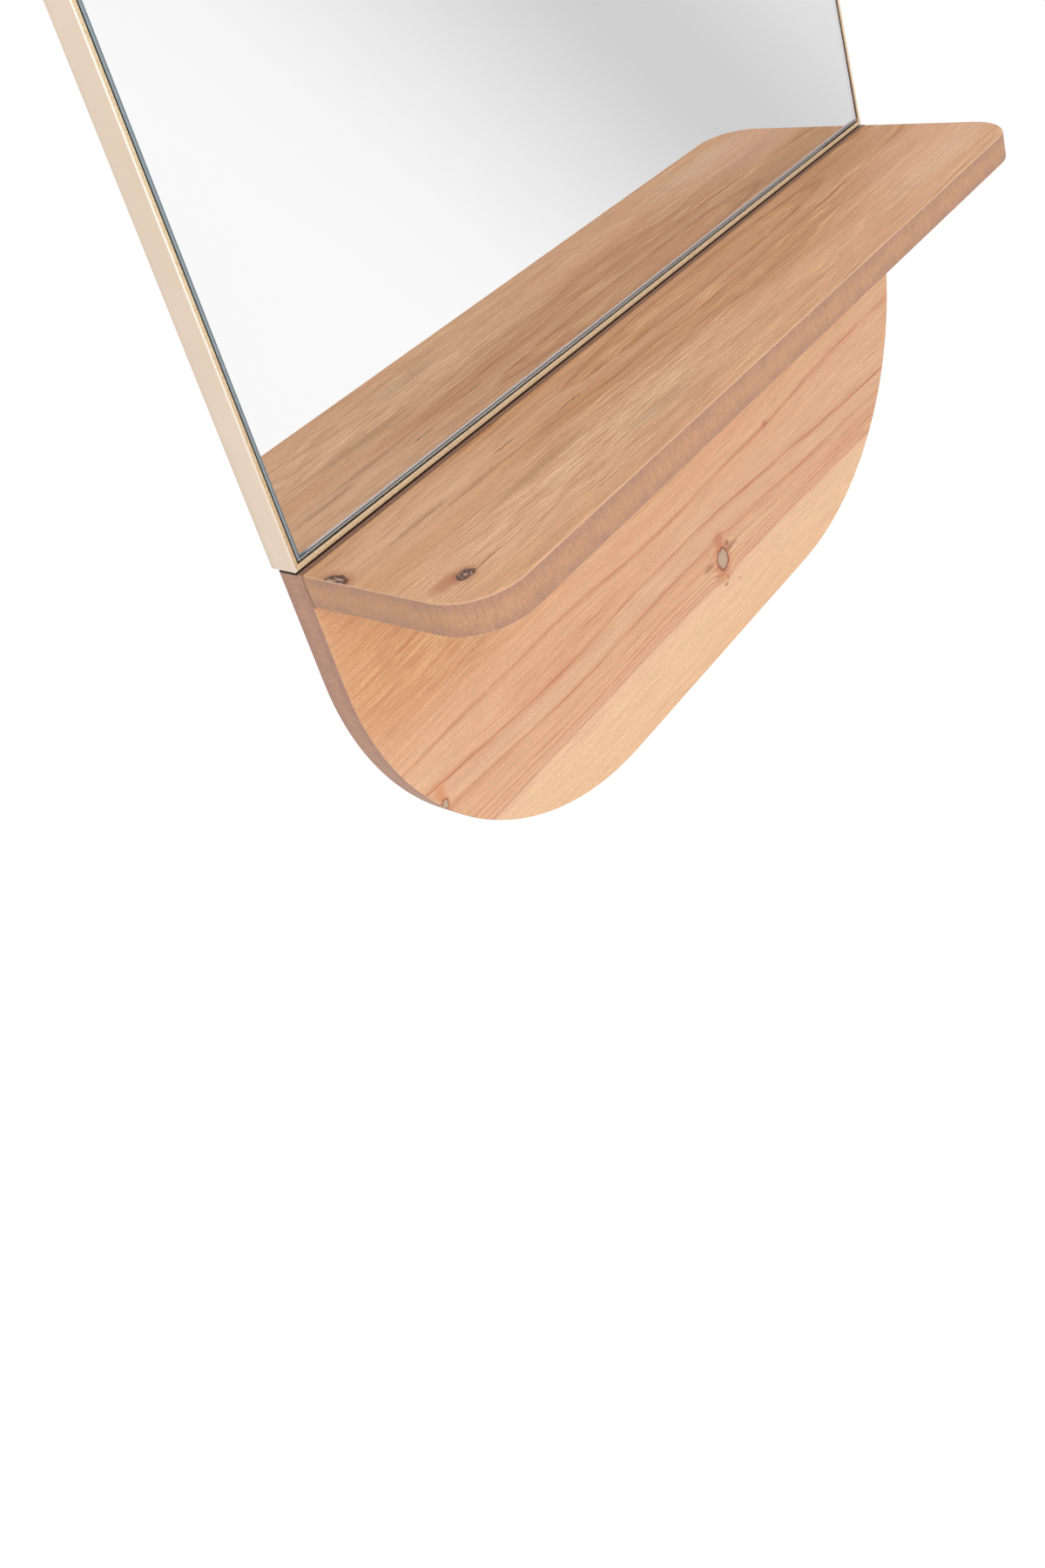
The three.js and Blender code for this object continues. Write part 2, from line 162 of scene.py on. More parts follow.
shelf = {
    "face": (0, 0, 1), "middle": -11.9, "half": 9.5, "saw": (0.8, 0.8, 0.12),
    "heart": (45, -40, 0.083),  # middle of the long closed rings on the top, and how slender they are
    "straightTo": (12.0, 45.0),  # mm from the middle where the fibres begin to follow the rings, and do wholly
    # by the distance in mm from that middle, across the plank, from and to the span
    "rampSpan": (0.0, 110.0),
    "groundStops": [(0, "#c9966c"), (10, "#c69066"), (13, "#cc9b74"), (22, "#c8946a"), (30, "#c48f64"),
                    (45, "#c89469"), (52, "#cf9a70"), (66, "#d3a078"), (80, "#d19e76"), (110, "#d19e76")],
    "lineStops": [(0, 0.0), (1.2, 0.25), (2.6, 0.0), (9, 0.1), (10.8, 0.4), (12.2, 0.95), (13.2, 0.1),
                  (20, 0.1), (21, 0.34), (22, 0.05), (23.4, 0.25), (24.8, 0.8), (25.8, 0.15), (29, 0.1),
                  (30, 0.34), (31, 0.08), (36.5, 0.1), (37.6, 0.42), (38.8, 0.1), (43, 0.45), (44.2, 0.05),
                  (47, 0.35), (48, 0.05), (54, 0.2), (55, 0.0), (110, 0.0)],
    "lineColour": "#a2622f", "paleColour": "#e8bb90", "darkColour": "#a96c44", "checkColour": "#76492f",
    "pale": 0.5, "dark": 0.62, "checks": 0.75, "straw": 0.75, "fine": (0.82, 1.14),
    "wander": 2.6, "ripple": 1.3, "pull": (0.5, 2.2),
    "crumbs": 0.75, "topShade": 1.0, "endTone": 1.12, "tone": 1.12,
    "marks": [(-250, -75, 110, 50, "#dfae86", 0.5, 0.4), (-235, -40, 90, 24, "#dfb795", 0.55, 0.4),
              (-140, -96, 110, 16, "#e9c394", 0.42, 0.9), (-150, -100, 170, 34, "#f5d0a8", 0.48, 1.0),
              (-150, -100, 170, 34, "#a56a45", 0.19, -1.0), (230, -38, 90, 18, "#b3845a", 0.6, 0.5),
              (260, -90, 110, 34, "#d8a88a", 0.55, 0.3), (230, -112, 90, 12, "#dab695", 0.5, 0.7),
              (-112, -110, 34, 4.5, "#b39a80", 0.45, 0.8), (180, -112, 6, 16, "#c19072", 0.3, 0.2),
              (-245, -50, 30, 2.2, "#8f6243", 0.55, 0.9), (-207, -56, 34, 2.4, "#8f6243", 0.5, 0.9),
              (-168, -46, 12, 1.0, "#7a5338", 0.7, 0.3), (-117, -53, 12, 1.0, "#7a5338", 0.7, 0.3),
              (-185, -82, 46, 5, "#94673f", 0.5, 1.0), (-262, -110.5, 12, 1.0, "#8a5a45", 0.6, 0.2),
              (-284, -104, 13, 6, "#a5583f", 0.6, 0.3), (200, -33, 60, 1.6, "#a26f4a", 0.5, 0.3),
              (-45, -38, 12, 1.6, "#b5713c", 0.5, 0.4), (-105, -122, 60, 4, "#b98d69", 0.4, 0.9),
              (60, -30, 200, 8, "#b9865a", 0.3, 0.4)],
    "knots": [(-300, -43.5, 6.0, 7.6), (-276, -108.5, 5.2, 3.8)],
    "knotStops": [(0.0, "#a58673"), (0.2, "#8d6f60"), (0.36, "#4d352c"), (0.55, "#765a4c"),
                  (0.78, "#523529"), (1.0, "#7d523f")],
    "haloColour": "#a9654a", "arrisColour": "#dab392", "strawColour": "#efc795",
    "edgeMiddle": "#c3936e", "edgeBorder": "#ae836e", "edgeFleck": "#d6a88b",
}


# Noises drawn out along the fibres, in cycles per mm along X, across and into the plank
fibres = {
    "wander": (0.012, 0.05, 0.05), "ripple": (0.04, 0.09, 0.09),  # long and short bends of the lines
    "stretches": (0.018, 0.12, 0.1),  # where a line is strong and where it is weak
    "fine": (0.03, 1.25, 0.9),  # fibres under 1 mm wide, which the pale and dark marks follow
    "straw": (0.026, 1.35, 0.8), "strawPatches": (0.01, 0.075, 0.06),
    "checks": (0.035, 1.7, 0.9), "checkGroups": (0.012, 0.06, 0.06),
    "pores": (0.42, 0.85, 0.85),  # pores under 0.3 mm, drawn at about 1 mm so that they show
}
# pale bands about 8 mm wide, then pale and dark streaks about 2 mm wide: scale, then the noise's value where
# each starts and where it is full
streaks = [("pale", (0.005, 0.11, 0.11), 0.5, 0.8), ("pale", (0.009, 0.42, 0.3), 0.52, 0.76),
           ("dark", (0.011, 0.5, 0.34), 0.54, 0.78)]
# spans by the distance from a knot's middle, 1 at its rim
knotLook = {"rim": (1.0, 1.14), "halo": (0.9, 2.0), "haloStrength": 0.55, "crumbs": (0.6, 0.95),
            "crumbScale": 0.48, "crumbColour": "#d3aa93", "gritTone": (0.78, 1.18)}
# spans by how far the surface looks the way of the face, 1 on the face itself
sawnLook = {"edge": (0.3, 0.65), "arris": (0.72, 0.97), "arrisStrength": 0.85, "unevenMm": 7.0,
            "sawTone": (0.87, 1.11), "gritTone": (0.88, 1.11), "fleckStrength": 0.35}
# thin dark lines, in mm: the seam between the planks at its Y, painted shade in its groove, beside which the
# arris isn't pale, and the painted shadow where the wood's top runs under the rail, each only above a height
contact = {"seam": -21.0, "seamWidth": (0.3, 0.95), "seamShadeStrength": 0.6, "seamAbove": (-23.0, -22.0),
           "seamShadeColour": "#5c3c2a", "paleArrisClearOfSeam": (1.4, 2.2), "rail": (-18.3, -17.4), "railAbove": (-3.4, -2.8),
           "railShadowStrength": 0.9, "railShadowColour": "#2e1c12"}


def stretched(tree, place, scale, settings, output=0):
    # noise drawn out along the fibres: place in mm, scale in cycles per mm along X, across and into the plank
    drawn = addNode(tree, "VectorMath", {"operation": "MULTIPLY"}, {0: place, 1: scale})
    return addNode(tree, "TexNoise", None, {"Vector": drawn, "Scale": 1.0, **settings}, output)


def streakMask(tree, place, scale, low, high, amount, detail=3.0):
    # 0 to amount where the drawn-out noise rises from low to high
    noise = stretched(tree, place, scale, {"Detail": detail, "Roughness": 0.6})
    return addNode(tree, "MapRange", smooth, {0: noise, 1: low, 2: high, 3: 0.0, 4: amount})


def reachFrom(tree, flat, x, v, halfX, halfV):
    # distance from a middle on the face, 1 at the rim of its oval
    local = addNode(tree, "VectorMath", {"operation": "MULTIPLY_ADD"},
                    {0: flat, 1: (1 / halfX, 1 / halfV, 0), 2: (-x / halfX, -v / halfV, 0)})
    return addNode(tree, "VectorMath", {"operation": "LENGTH"}, {0: local}, 1)


def curveHeight(tree, values, x, points):
    # height in mm of a line that wanders along X, from the places it passes; the curve takes its two ends first
    left, right, low, high = values["curveBox"]
    along = addNode(tree, "MapRange", None, {0: x, 1: left, 2: right, 3: 0.0, 4: 1.0})
    curve = addNode(tree, "FloatCurve", {"curve": sorted(
        [((px - left) / (right - left), (pz - low) / (high - low)) for px, pz in points],
        key=lambda p: p[0] not in (0.0, 1.0))}, {"Factor": 1.0, "Value": along})
    return addNode(tree, "MapRange", {"clamp": False}, {0: curve, 1: 0.0, 2: 1.0, 3: low, 4: high})


def boardRings(tree, values, x, across):
    # straightens the lines: mm above the sapwood border, as in the middle of the board
    heights = [curveHeight(tree, values, x, values[k])
               for k in ("lineTop", "lineMiddle", "lineLow", "sapBorder")]
    top, border = heights[0], heights[-1]
    rings = addNode(tree, "Math", {"operation": "SUBTRACT"}, {0: across, 1: top})
    rings = addNode(tree, "Math", {"operation": "MAXIMUM"}, {0: rings, 1: 0.0})
    below = addNode(tree, "Math", {"operation": "SUBTRACT"}, {0: across, 1: border})
    below = addNode(tree, "Math", {"operation": "MINIMUM"}, {0: below, 1: 0.0})
    rings = addNode(tree, "Math", {"operation": "ADD"}, {0: rings, 1: below})
    rising = heights[::-1]
    for under, over, span in zip(rising, rising[1:], values["lineSpans"]):
        part = addNode(tree, "MapRange", None, {0: across, 1: under, 2: over, 3: 0.0, 4: span})
        rings = addNode(tree, "Math", {"operation": "ADD"}, {0: rings, 1: part})
    return rings, rings


def shelfRings(tree, values, x, across):
    # closed rings round one long middle, as a flat-sawn plank shows them
    cx, cy, slender = values["heart"]
    dx = addNode(tree, "Math", {"operation": "MULTIPLY_ADD"}, {0: x, 1: slender, 2: -cx * slender})
    dy = addNode(tree, "Math", {"operation": "SUBTRACT"}, {0: across, 1: float(cy)})
    ring = addNode(tree, "CombineXYZ", None, {0: dx, 1: dy, 2: 0.0})
    rings = addNode(tree, "VectorMath", {"operation": "LENGTH"}, {0: ring}, 1)
    # the fibres run straight near that middle and follow the rings farther out
    out = addNode(tree, "Math", {"operation": "MULTIPLY"}, {0: dy, 1: -1.0})
    near, far = values["straightTo"]
    follow = addNode(tree, "MapRange", smooth, {0: out, 1: near, 2: far, 3: 0.0, 4: 1.0})
    fibre = addNode(tree, "Mix", numberMix, {0: follow, 2: out, 3: rings})
    return rings, fibre


def plankFigure(tree, values, rings, x, fibre, depth):
    # the ground and lines of the faces, then their streaks; also gives the noise of the finest fibres
    low, high = values["rampSpan"]
    share = addNode(tree, "MapRange", None, {0: rings, 1: low, 2: high, 3: 0.0, 4: 1.0})
    colour, lines = [
        addNode(tree, "ValToRGB", {"stops": [((p - low) / (high - low), c) for p, c in values[k]]}, {0: share})
        for k in ("groundStops", "lineStops")]
    along = addNode(tree, "CombineXYZ", None, {0: x, 1: fibre, 2: depth})
    stretch = streakMask(tree, along, fibres["stretches"], 0.25, 0.7, 1.0)
    stretch = addNode(tree, "MapRange", None, {0: stretch, 1: 0.0, 2: 1.0, 3: 0.55, 4: 1.1})
    lines = addNode(tree, "Math", {"operation": "MULTIPLY"}, {0: lines, 1: stretch})
    colour = addNode(tree, "Mix", colourMix, {0: lines, 6: colour, 7: values["lineColour"]}, 2)
    for kind, scale, start, full in streaks:
        mask = streakMask(tree, along, scale, start, full, values[kind])
        colour = addNode(tree, "Mix", colourMix, {0: mask, 6: colour, 7: values[kind + "Colour"]}, 2)
    fine = stretched(tree, along, fibres["fine"], {"Detail": 3.0, "Roughness": 0.7})
    low, high = values["fine"]
    tone = addNode(tree, "MapRange", None, {0: fine, 1: 0.32, 2: 0.68, 3: low, 4: high})
    colour = addNode(tree, "VectorMath", {"operation": "SCALE"}, {0: colour, "Scale": tone})
    # crisp straw streaks and short dark checks between the fibres, both in groups
    straw = streakMask(tree, along, fibres["straw"], 0.53, 0.6, 1.0, 2.0)
    patches = streakMask(tree, along, fibres["strawPatches"], 0.42, 0.66, values["straw"])
    straw = addNode(tree, "Math", {"operation": "MULTIPLY"}, {0: straw, 1: patches})
    colour = addNode(tree, "Mix", colourMix, {0: straw, 6: colour, 7: values["strawColour"]}, 2)
    checks = streakMask(tree, along, fibres["checks"], 0.62, 0.72, 1.0, 2.0)
    groups = streakMask(tree, along, fibres["checkGroups"], 0.45, 0.7, values["checks"])
    checks = addNode(tree, "Math", {"operation": "MULTIPLY"}, {0: checks, 1: groups})
    colour = addNode(tree, "Mix", colourMix, {0: checks, 6: colour, 7: values["checkColour"]}, 2)
    return colour, fine


def plankMarks(tree, values, colour, flat, fine):
    for mx, mv, halfX, halfV, shade, strength, fibrous in values["marks"]:
        reach = reachFrom(tree, flat, mx, mv, halfX, halfV)
        mask = addNode(tree, "MapRange", smooth, {0: reach, 1: 0.3, 2: 1.25, 3: strength, 4: 0.0})
        if fibrous:
            broken = {0: fine, 1: 0.4, 2: 0.6, 3: 1.0 - fibrous, 4: 1.0 + 0.4 * fibrous}
            broken = addNode(tree, "MapRange", None, broken)
            mask = addNode(tree, "Math", {"operation": "MULTIPLY"}, {0: mask, 1: broken})
        colour = addNode(tree, "Mix", colourMix, {0: mask, 6: colour, 7: shade}, 2)
    return colour


def plankKnots(tree, values, colour, place, reaches, grit):
    # a knot has a red-brown halo, a dark ringed core and pale crumbs inside
    for reach in reaches:
        halo = {0: reach, 1: knotLook["halo"][0], 2: knotLook["halo"][1], 3: knotLook["haloStrength"], 4: 0.0}
        halo = addNode(tree, "MapRange", smooth, halo)
        colour = addNode(tree, "Mix", colourMix, {0: halo, 6: colour, 7: values["haloColour"]}, 2)
        core = {0: reach, 1: knotLook["rim"][0], 2: knotLook["rim"][1], 3: 1.0, 4: 0.0}
        core = addNode(tree, "MapRange", smooth, core)
        knotColour = addNode(tree, "ValToRGB", {"stops": values["knotStops"]}, {0: reach})
        gritTone = {0: grit, 1: 0.3, 2: 0.7, 3: knotLook["gritTone"][0], 4: knotLook["gritTone"][1]}
        gritTone = addNode(tree, "MapRange", None, gritTone)
        knotColour = addNode(tree, "VectorMath", {"operation": "SCALE"}, {0: knotColour, "Scale": gritTone})
        colour = addNode(tree, "Mix", colourMix, {0: core, 6: colour, 7: knotColour}, 2)
        crumbs = {"Vector": place, "Scale": knotLook["crumbScale"], "Detail": 1.0}
        crumbs = addNode(tree, "TexNoise", None, crumbs)
        crumbs = addNode(tree, "MapRange", smooth, {0: crumbs, 1: 0.5, 2: 0.58, 3: 0.0, 4: values["crumbs"]})
        inside = {0: reach, 1: knotLook["crumbs"][0], 2: knotLook["crumbs"][1], 3: 1.0, 4: 0.0}
        inside = addNode(tree, "MapRange", None, inside)
        crumbs = addNode(tree, "Math", {"operation": "MULTIPLY"}, {0: crumbs, 1: inside})
        colour = addNode(tree, "Mix", colourMix, {0: crumbs, 6: colour, 7: knotLook["crumbColour"]}, 2)
    return colour


def sawnEdge(tree, values, place, normal, depth, grit):
    # rougher, mauve-brown and speckled, more orange in the middle of the thickness, with fine marks of the saw
    level = addNode(tree, "Math", {"operation": "SUBTRACT"}, {0: depth, 1: float(values["middle"])})
    level = addNode(tree, "Math", {"operation": "ABSOLUTE"}, {0: level})
    mottle = addNode(tree, "TexNoise", None, {"Vector": place, "Scale": 0.09, "Detail": 6.0, "Roughness": 0.72})
    most = sawnLook["unevenMm"]
    uneven = addNode(tree, "MapRange", None, {0: mottle, 1: 0.2, 2: 0.8, 3: -most, 4: most})
    level = addNode(tree, "Math", {"operation": "ADD"}, {0: level, 1: uneven})
    border = addNode(tree, "MapRange", smooth, {0: level, 1: -1.0, 2: values["half"] * 1.25, 3: 0.0, 4: 1.0})
    edge = addNode(tree, "Mix", colourMix, {0: border, 6: values["edgeMiddle"], 7: values["edgeBorder"]}, 2)
    saw = stretched(tree, place, values["saw"], {"Detail": 3.0, "Roughness": 0.7})
    sawTone, gritTone = [
        addNode(tree, "MapRange", None, {0: noise, 1: 0.3, 2: 0.7, 3: sawnLook[k][0], 4: sawnLook[k][1]})
        for noise, k in ((saw, "sawTone"), (grit, "gritTone"))]
    tone = addNode(tree, "Math", {"operation": "MULTIPLY"}, {0: gritTone, 1: sawTone})
    edge = addNode(tree, "VectorMath", {"operation": "SCALE"}, {0: edge, "Scale": tone})
    fleck = addNode(tree, "TexNoise", None, {"Vector": place, "Scale": 0.8, "Detail": 2.0, "Roughness": 0.6})
    fleck = addNode(tree, "MapRange", smooth, {0: fleck, 1: 0.5, 2: 0.72, 3: 0.0, 4: sawnLook["fleckStrength"]})
    edge = addNode(tree, "Mix", colourMix, {0: fleck, 6: edge, 7: values["edgeFleck"]}, 2)
    # the ends are paler than the long edges
    endwise = addNode(tree, "VectorMath", {"operation": "DOT_PRODUCT"}, {0: normal, 1: (1, 0, 0)}, 1)
    endwise = addNode(tree, "Math", {"operation": "ABSOLUTE"}, {0: endwise})
    endwise = addNode(tree, "MapRange", None, {0: endwise, 1: 0.6, 2: 1.0, 3: 1.0, 4: values["endTone"]})
    edge = addNode(tree, "VectorMath", {"operation": "SCALE"}, {0: edge, "Scale": endwise})
    # painted shade: the top of the board is darker where the frame stands over it
    paintedTopShadeTone = addNode(tree, "VectorMath", {"operation": "DOT_PRODUCT"}, {0: normal, 1: (0, 0, 1)}, 1)
    paintedTopShadeTone = addNode(tree, "MapRange", None, {0: paintedTopShadeTone, 1: 0.4, 2: 0.9, 3: 1.0, 4: values["topShade"]})
    return addNode(tree, "VectorMath", {"operation": "SCALE"}, {0: edge, "Scale": paintedTopShadeTone})


def darkLine(tree, colour, mask, z, above, over):
    # a line in the colour over, on what lies above a height
    higher = addNode(tree, "MapRange", None, {0: z, 1: above[0], 2: above[1], 3: 0.0, 4: 1.0})
    mask = addNode(tree, "Math", {"operation": "MULTIPLY"}, {0: mask, 1: higher})
    return addNode(tree, "Mix", colourMix, {0: mask, 6: colour, 7: over}, 2)


def plankMaterial(name, values, ringsOf):
    material, tree = newMaterial(name)
    place = placeInMm(tree)
    split = tree.nodes.new("ShaderNodeSeparateXYZ")
    tree.links.new(place, split.inputs[0])
    x, y, z = split.outputs
    across, depth = (z, y) if values["face"][1] else (y, z)
    bent = across
    for bend in ("wander", "ripple"):
        noise = stretched(tree, place, fibres[bend], {"Detail": 2.0})
        noise = addNode(tree, "MapRange", None, {0: noise, 1: 0.0, 2: 1.0, 3: -values[bend], 4: values[bend]})
        bent = addNode(tree, "Math", {"operation": "ADD"}, {0: bent, 1: noise})
    # knots and marks have uneven rims, up to 2 mm out of their ovals
    ragged = addNode(tree, "TexNoise", None, {"Vector": place, "Scale": 0.28, "Detail": 3.0}, 1)
    ragged = addNode(tree, "VectorMath", {"operation": "MULTIPLY_ADD"},
                     {0: ragged, 1: (4.0, 3.2, 0.0), 2: (-2.0, -1.6, 0.0)})
    flat = addNode(tree, "CombineXYZ", None, {0: x, 1: across, 2: 0.0})
    flat = addNode(tree, "VectorMath", {"operation": "ADD"}, {0: flat, 1: ragged})
    reaches = [reachFrom(tree, flat, *knot) for knot in values["knots"]]
    pullStrength, pullReach = values["pull"]
    for reach, knot in zip(reaches, values["knots"]):
        # the rings part round a knot
        pull = addNode(tree, "MapRange", smooth, {0: reach, 1: 0.0, 2: pullReach, 3: pullStrength, 4: 0.0})
        bent = addNode(tree, "Mix", numberMix, {0: pull, 2: bent, 3: float(knot[1])})
    rings, fibre = ringsOf(tree, values, x, bent)
    colour, fine = plankFigure(tree, values, rings, x, fibre, depth)
    colour = plankMarks(tree, values, colour, flat, fine)
    grit = addNode(tree, "TexNoise", None, {"Vector": place, "Scale": 1.1, "Detail": 4.0, "Roughness": 0.75})
    pores = stretched(tree, place, fibres["pores"], {"Detail": 2.0, "Roughness": 0.75})
    low, high = [share * values["tone"] for share in (0.915, 1.085)]
    sanded = addNode(tree, "MapRange", None, {0: pores, 1: 0.3, 2: 0.7, 3: low, 4: high})
    colour = addNode(tree, "VectorMath", {"operation": "SCALE"}, {0: colour, "Scale": sanded})
    colour = plankKnots(tree, values, colour, place, reaches, grit)
    # sawn edges are told from the faces by the way they look
    normal = addNode(tree, "TexCoord", None, None, "Normal")
    facing = addNode(tree, "VectorMath", {"operation": "DOT_PRODUCT"}, {0: normal, 1: values["face"]}, 1)
    facing = addNode(tree, "Math", {"operation": "ABSOLUTE"}, {0: facing})
    low, high = sawnLook["edge"]
    isEdge = addNode(tree, "MapRange", smooth, {0: facing, 1: low, 2: high, 3: 1.0, 4: 0.0})
    # the pale arris: partly worn paler, partly a painted highlight
    low, high = sawnLook["arris"]
    isArris = {0: facing, 1: low, 2: high, 3: sawnLook["arrisStrength"], 4: 0.0}
    isArris = addNode(tree, "MapRange", None, isArris)
    edge = sawnEdge(tree, values, place, normal, depth, grit)
    # where the planks meet, the arris has neither its pale wear nor its painted highlight, and the seam is a
    # thin line of painted shade
    seam = addNode(tree, "Math", {"operation": "ADD"}, {0: y, 1: -contact["seam"]})
    seam = addNode(tree, "Math", {"operation": "ABSOLUTE"}, {0: seam})
    low, high = contact["paleArrisClearOfSeam"]
    worn = addNode(tree, "MapRange", None, {0: seam, 1: low, 2: high, 3: 0.0, 4: 1.0})
    isArris = addNode(tree, "Math", {"operation": "MULTIPLY"}, {0: isArris, 1: worn})
    colour = addNode(tree, "Mix", colourMix, {0: isArris, 6: colour, 7: values["arrisColour"]}, 2)
    colour = addNode(tree, "Mix", colourMix, {0: isEdge, 6: colour, 7: edge}, 2)
    # painted shade in the groove of the seam
    low, high = contact["seamWidth"]
    mask = addNode(tree, "MapRange", smooth, {0: seam, 1: low, 2: high, 3: contact["seamShadeStrength"], 4: 0.0})
    colour = darkLine(tree, colour, mask, z, contact["seamAbove"], contact["seamShadeColour"])
    # painted shadow where the wood's top runs under the frame's rail
    low, high = contact["rail"]
    mask = addNode(tree, "MapRange", smooth, {0: y, 1: low, 2: high, 3: 0.0, 4: contact["railShadowStrength"]})
    colour = darkLine(tree, colour, mask, z, contact["railAbove"], contact["railShadowColour"])
    rough = addNode(tree, "MapRange", None, {0: fine, 1: 0.3, 2: 0.7, 3: 0.64, 4: 0.52})
    height = addNode(tree, "Mix", numberMix, {0: isEdge, 2: fine, 3: grit})
    return finishMaterial(material, tree, {"Base Color": colour, "Roughness": rough}, height, 0.10 * mm)


print("wood")
boardWood = plankMaterial("planedSoftwoodBoard", board, boardRings)
shelfWood = plankMaterial("planedSoftwoodShelf", shelf, shelfRings)


def plainMaterial(name, hexColour, hexCloud, roughness, cycles, metallic=1.0, bumpDepth=0.02 * mm):
    # one colour with faint clouds in a second one and a fine grain of so many cycles per mm
    material, tree = newMaterial(name)
    place = placeInMm(tree)
    grain = addNode(tree, "TexNoise", None, {"Vector": place, "Scale": cycles, "Detail": 3.0})
    cloud = addNode(tree, "TexNoise", None, {"Vector": place, "Scale": 0.03, "Detail": 2.0})
    both = addNode(tree, "Math", {"operation": "MULTIPLY_ADD"}, {0: grain, 1: 0.6, 2: cloud})
    mask = addNode(tree, "MapRange", None, {0: both, 1: 0.6, 2: 1.0, 3: 0.0, 4: 1.0})
    colour = addNode(tree, "Mix", colourMix, {0: mask, 6: hexColour, 7: hexCloud}, 2)
    low, high = roughness - 0.05, roughness + 0.05
    rough = addNode(tree, "MapRange", None, {0: grain, 1: 0.3, 2: 0.7, 3: low, 4: high})
    inputs = {"Base Color": colour, "Metallic": metallic, "Roughness": rough}
    return finishMaterial(material, tree, inputs, grain, bumpDepth)


# Thin brass sheet, lacquered: the outer face is a plain satin champagne, the narrow front edge is cut and
# brushed, so it is yellower and shows fine brown specks, and a bright painted highlight runs along the outer
# arris of the arch
band = {
    "cutStops": [(0.3, "#caae84"), (0.5, "#e7cea7"), (0.7, "#f5e2c4")],
    "satinStops": [(0.3, "#e4d0ba"), (0.7, "#ead7c3")], "arris": "#fffaf0",
    "satinRoughness": 0.36, "cutRoughness": 0.5, "satinMetal": 1.0, "cutMetal": 0.35,
    # outline of the arch and the painted highlight along its outer arris, in mm
    "halfWidth": 300.0, "top": 537.6, "radius": 190.0, "arrisHighlight": (0.75, 1.25), "arrisHighlightStrength": 0.92,
}


def framedBrass(name, values):
    material, tree = newMaterial(name)
    place = placeInMm(tree)
    normal = addNode(tree, "TexCoord", None, None, "Normal")
    facing = addNode(tree, "VectorMath", {"operation": "DOT_PRODUCT"}, {0: normal, 1: (0, -1, 0)}, 1)
    isFront = addNode(tree, "MapRange", None, {0: facing, 1: 0.6, 2: 0.9, 3: 0.0, 4: 1.0})
    specks = addNode(tree, "TexNoise", None, {"Vector": place, "Scale": 0.9, "Detail": 4.0, "Roughness": 0.7})
    cut = addNode(tree, "ValToRGB", {"stops": values["cutStops"]}, {0: specks})
    cloud = addNode(tree, "TexNoise", None, {"Vector": place, "Scale": 0.02, "Detail": 2.0})
    satin = addNode(tree, "ValToRGB", {"stops": values["satinStops"]}, {0: cloud})
    colour = addNode(tree, "Mix", colourMix, {0: isFront, 6: satin, 7: cut}, 2)
    # mm inward from the outline of the arch
    split = tree.nodes.new("ShaderNodeSeparateXYZ")
    tree.links.new(place, split.inputs[0])
    radius = values["radius"]
    aside = addNode(tree, "Math", {"operation": "ABSOLUTE"}, {0: split.outputs["X"]})
    aside = addNode(tree, "Math", {"operation": "SUBTRACT"}, {0: aside, 1: values["halfWidth"] - radius})
    above = addNode(tree, "Math", {"operation": "SUBTRACT"}, {0: split.outputs["Z"], 1: values["top"] - radius})
    corner = addNode(tree, "CombineXYZ", None, {0: aside, 1: above, 2: 0.0})
    corner = addNode(tree, "VectorMath", {"operation": "MAXIMUM"}, {0: corner, 1: (0, 0, 0)})
    inward = addNode(tree, "VectorMath", {"operation": "LENGTH"}, {0: corner}, 1)
    inward = addNode(tree, "Math", {"operation": "SUBTRACT"}, {0: radius, 1: inward})
    # painted highlight along the outer arris, on the faces that look outward
    near, far = values["arrisHighlight"]
    arrisHighlight = addNode(tree, "MapRange", smooth, {0: inward, 1: near, 2: far, 3: values["arrisHighlightStrength"], 4: 0.0})
    outward = addNode(tree, "MapRange", None, {0: facing, 1: 0.2, 2: 0.4, 3: 0.0, 4: 1.0})
    arrisHighlight = addNode(tree, "Math", {"operation": "MULTIPLY"}, {0: arrisHighlight, 1: outward})
    colour = addNode(tree, "Mix", colourMix, {0: arrisHighlight, 6: colour, 7: values["arris"]}, 2)
    rough, metal = [
        addNode(tree, "MapRange", None, {0: isFront, 1: 0.0, 2: 1.0, 3: values[onSatin], 4: values[onCut]})
        for onSatin, onCut in (("satinRoughness", "cutRoughness"), ("satinMetal", "cutMetal"))]
    inputs = {"Base Color": colour, "Metallic": metal, "Roughness": rough}
    return finishMaterial(material, tree, inputs, specks, 0.012 * mm)


print("metals")
brass = framedBrass("lacqueredBrassSheet", band)
# rolled and zinc-plated: cool grey with a soft sheen and faint clouds
zincPlate = plainMaterial("zincPlatedSheetSteel", "#b4b8bf", "#9ba0a8", 0.38, 0.4)
# turned and yellow-plated: warm straw metal, a little shinier
zincScrew = plainMaterial("yellowZincPlatedScrewSteel", "#cdbb8c", "#b9a37a", 0.32, 0.8)
# wet-pressed wood fibre: flat brown with a fine felted grain
fibreboard = plainMaterial("pressedFibreboard", "#7a5b42", "#6a4d37", 0.7, 0.7, 0.0, 0.06 * mm)
# closed-cell foam strip: dull off-white with fine pits
foamTape = plainMaterial("foamTape", "#e3e3dd", "#d6d6cf", 0.8, 1.2, 0.0, 0.1 * mm)
# turned and fluted beech: pale pinkish brown, dry and matt
beech = plainMaterial("flutedBeech", "#d9b48c", "#c99f75", 0.6, 0.6, 0.0, 0.08 * mm)
# moulded rubber: near black, matt, with a fine mould grain
rubber = plainMaterial("mouldedRubber", "#3a3836", "#302e2c", 0.75, 0.9, 0.0, 0.05 * mm)
